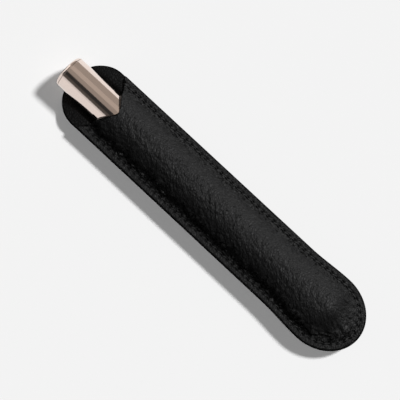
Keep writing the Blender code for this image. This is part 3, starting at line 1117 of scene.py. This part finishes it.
def knurled_knob():
    """The knob, with flutes cut along its grip."""
    profile = [(8, 0), (8, 2.6), (8.2, 3.0), (8.9, 3.5), (9.6, 3.6), (10.4, 3.6)]
    profile += [(10.8, 3.58), (22.4, 3.58), (22.8, 3.6), (24, 3.6), (24, 1.0)]
    profile += [(9.2, 1.0), (9.2, 0)]
    shape = turned_shape(profile, closed=False, edge=0, sides=KNURLS * 6)
    centre = PEN_AXIS * MM
    for vert in shape.verts:
        along = vert.co.x / MM - PEN_TAIL
        radius = math.hypot(vert.co.y, vert.co.z - centre.z) / MM
        if KNURLS_START < along < KNURLS_END and radius > KNURLS_INSIDE:
            turn = math.atan2(vert.co.z - centre.z, vert.co.y)
            cut = 0.5 - 0.5 * math.cos(turn * KNURLS)
            shrink = 1 - KNURL_SHARE * cut**2
            vert.co.y *= shrink
            vert.co.z = centre.z + (vert.co.z - centre.z) * shrink
    return shape


pen_piece(
    "knurled_knob",
    knurled_knob(),
    BLACK_RESIN,
    "knob",
    ["converter_knob"],
    sharp=30,
)

# ---------------------------------------------------------------- cap
# A drawn brass tube in the same plate, with a lip ring, a black inner cap that seals the nib, and a
# domed crown pressed in, which leaves a thin joint inside its rounded rim.

LIP = CAP_MOUTH + 2.0
LIP_JOINT = 0.12
CROWN_JOINT = 0.14
crown_profile = domed_end(PEN_LENGTH, -1)
crown_shoulder = crown_profile[-1][0]
crown_profile += [(crown_shoulder, PLUG_RADIUS), (PEN_LENGTH - PLUG_LENGTH, PLUG_RADIUS)]
crown_profile += [(PEN_LENGTH - PLUG_LENGTH, 0)]
pen_piece(
    "domed_crown",
    turned_shape(crown_profile, closed=False),
    CHAMPAGNE,
    "cap",
    ["cap_crown"],
)
cap_profile = [(LIP + LIP_JOINT, TUBE_BORE), (LIP + LIP_JOINT, PEN_RADIUS)]
cap_profile += [(crown_shoulder - CROWN_JOINT, PEN_RADIUS)]
cap_profile += [(crown_shoulder - CROWN_JOINT, TUBE_BORE)]
pen_piece(
    "cap_shell",
    turned_shape(cap_profile, edge=0.09),
    CHAMPAGNE,
    "cap",
    ["cap_tube"],
)
ring_profile = [(CAP_MOUTH, 5.65), (CAP_MOUTH, PEN_RADIUS), (LIP, PEN_RADIUS), (LIP, 5.65)]
pen_piece(
    "lip_ring",
    turned_shape(ring_profile, edge=0.14),
    CHAMPAGNE,
    "cap",
    ["cap_lip_ring"],
)
inner_floor = PEN_LENGTH - 5.3
inner_profile = [(inner_floor - 1, 0), (inner_floor - 1, 5.3), (LIP + 1, 5.3)]
inner_profile += [(LIP + 1, PLUG_RADIUS), (inner_floor, PLUG_RADIUS), (inner_floor, 0)]
pen_piece(
    "inner_seal_cap",
    turned_shape(inner_profile, closed=False),
    BLACK_RESIN,
    "cap",
    ["inner_cap"],
)

# ---------------------------------------------------------------- stage
# A pale paper floor, a soft key lamp from the -Y side, and soft boxes round the pen that draw the
# bands on its plating. Each lamp lights only the floor, the sleeve or the pen.

CAMERA_DISTANCE = 1000.0
SENSOR = 36
VIEW_WIDTH = 152.9
TARGET = (5.5, 1.45, 5.0)
LEAN = math.radians(10)
TURN = math.radians(180 + 43.37)

paper = new_material("paper", (0.72, 0.72, 0.72), 0.9)
floor_shape = bmesh.new()
bmesh.ops.create_grid(floor_shape, x_segments=1, y_segments=1, size=4.0)
floor_mesh = bpy.data.meshes.new("floor")
floor_shape.to_mesh(floor_mesh)
floor_shape.free()
floor_mesh.materials.append(paper)
floor = bpy.data.objects.new("floor", floor_mesh)
bpy.context.scene.collection.objects.link(floor)

camera_data = bpy.data.cameras.new("camera")
camera_data.sensor_width = SENSOR
camera_data.lens = SENSOR * CAMERA_DISTANCE / VIEW_WIDTH
camera_data.clip_end = 20
camera = bpy.data.objects.new("camera", camera_data)
bpy.context.scene.collection.objects.link(camera)
camera_turn = Matrix.Rotation(TURN, 4, "Z") @ Matrix.Rotation(LEAN, 4, "X")
camera_back = camera_turn @ Vector((0, 0, CAMERA_DISTANCE * MM))
camera.matrix_world = Matrix.Translation(Vector(TARGET) * MM + camera_back) @ camera_turn
bpy.context.scene.camera = camera


def lamp_group(name, pieces):
    """What a lamp lights."""
    group = bpy.data.collections.new(name)
    for piece in pieces:
        group.objects.link(piece)
    return group


sleeve_pieces = [
    piece
    for piece in bpy.context.scene.objects
    if piece.type == "MESH" and piece not in pen_pieces and piece is not floor
]
LIGHTS_FLOOR = lamp_group("lights_floor", [floor])
LIGHTS_SLEEVE = lamp_group("lights_sleeve", sleeve_pieces)
LIGHTS_PEN = lamp_group("lights_pen", pen_pieces)


def sun(name, elevation, bearing, angle, strength, group, shadow=True):
    """A distant lamp, seen at an elevation and at a bearing from +X towards +Y."""
    data = bpy.data.lights.new(name, "SUN")
    data.energy = strength
    data.angle = math.radians(angle)
    data.use_shadow = shadow
    lamp = bpy.data.objects.new(name, data)
    bpy.context.scene.collection.objects.link(lamp)
    up, round_z = math.radians(elevation), math.radians(bearing)
    flat = math.cos(up)
    towards = Vector((flat * math.cos(round_z), flat * math.sin(round_z), math.sin(up)))
    lamp.rotation_euler = towards.to_track_quat("Z", "Y").to_euler()
    lamp.light_linking.receiver_collection = group
    return lamp


KEY_BEARING = math.degrees(math.atan2(-0.89, -0.45))
sun("key", 64, KEY_BEARING, 7, 1.6, LIGHTS_SLEEVE)
sun("floor_key", 50.3, KEY_BEARING, 8, 3.6, LIGHTS_FLOOR)
sun("floor_fill", 90, 0, 1, 1.03, LIGHTS_FLOOR, shadow=False)


def soft_box(
    name, start, end, reach, radiance, colour, group, bearing=90, length=2.4
):
    """A soft box that spans two angles from straight up towards a bearing. Its length is level."""
    first, last = math.radians(start), math.radians(end)
    middle, half = (first + last) / 2, (last - first) / 2
    across = 2 * reach * math.tan(half) * MM
    data = bpy.data.lights.new(name, "AREA")
    data.shape = "RECTANGLE"
    data.size = length
    data.size_y = across
    data.energy = radiance * math.pi * length * across
    data.color = colour
    lamp = bpy.data.objects.new(name, data)
    bpy.context.scene.collection.objects.link(lamp)
    aside = Matrix.Rotation(math.radians(bearing - 90), 3, "Z")
    towards = aside @ Vector((0, math.sin(middle), math.cos(middle)))
    level = aside @ Vector((1, 0, 0))
    side = towards.cross(level)
    turn = Matrix((level, side, towards)).transposed().to_4x4()
    lamp.matrix_world = Matrix.Translation(towards * reach * MM) @ turn
    lamp.light_linking.receiver_collection = group
    return lamp


WARM = (1.0, 0.9, 0.8)
NEUTRAL = (1.0, 1.0, 1.0)
soft_box("white_below_right", 130, 172, 500, 0.80, NEUTRAL, LIGHTS_PEN)
soft_box("white_wall", 68, 130, 500, 0.83, NEUTRAL, LIGHTS_PEN)
soft_box("wall_top", 56, 68, 500, 0.66, NEUTRAL, LIGHTS_PEN)
soft_box("cornice", 36, 56, 500, 0.05, WARM, LIGHTS_PEN)
soft_box("dim_ceiling", -14, 13, 500, 0.29, WARM, LIGHTS_PEN)
soft_box("tan_ceiling", -42, -14, 500, 0.45, WARM, LIGHTS_PEN)
soft_box("taupe_wall", -91, -42, 500, 0.33, WARM, LIGHTS_PEN)
soft_box("white_below", -170, -91, 500, 0.95, NEUTRAL, LIGHTS_PEN)
soft_box("end_wall", 50, 100, 300, 0.90, NEUTRAL, LIGHTS_PEN, bearing=0, length=0.2)
soft_box("side_box", -100, -44, 600, 1.05, NEUTRAL, LIGHTS_SLEEVE)
soft_box("room", -20, 30, 600, 0.24, NEUTRAL, LIGHTS_SLEEVE)

floor.visible_glossy = False
floor.visible_shadow = False
world = bpy.data.worlds.new("room")
bpy.context.scene.world = world
world.use_nodes = True
world.node_tree.nodes["Background"].inputs["Color"].default_value = (1, 1, 1, 1)
world.node_tree.nodes["Background"].inputs["Strength"].default_value = 0.03
bpy.context.scene.view_settings.view_transform = "Standard"
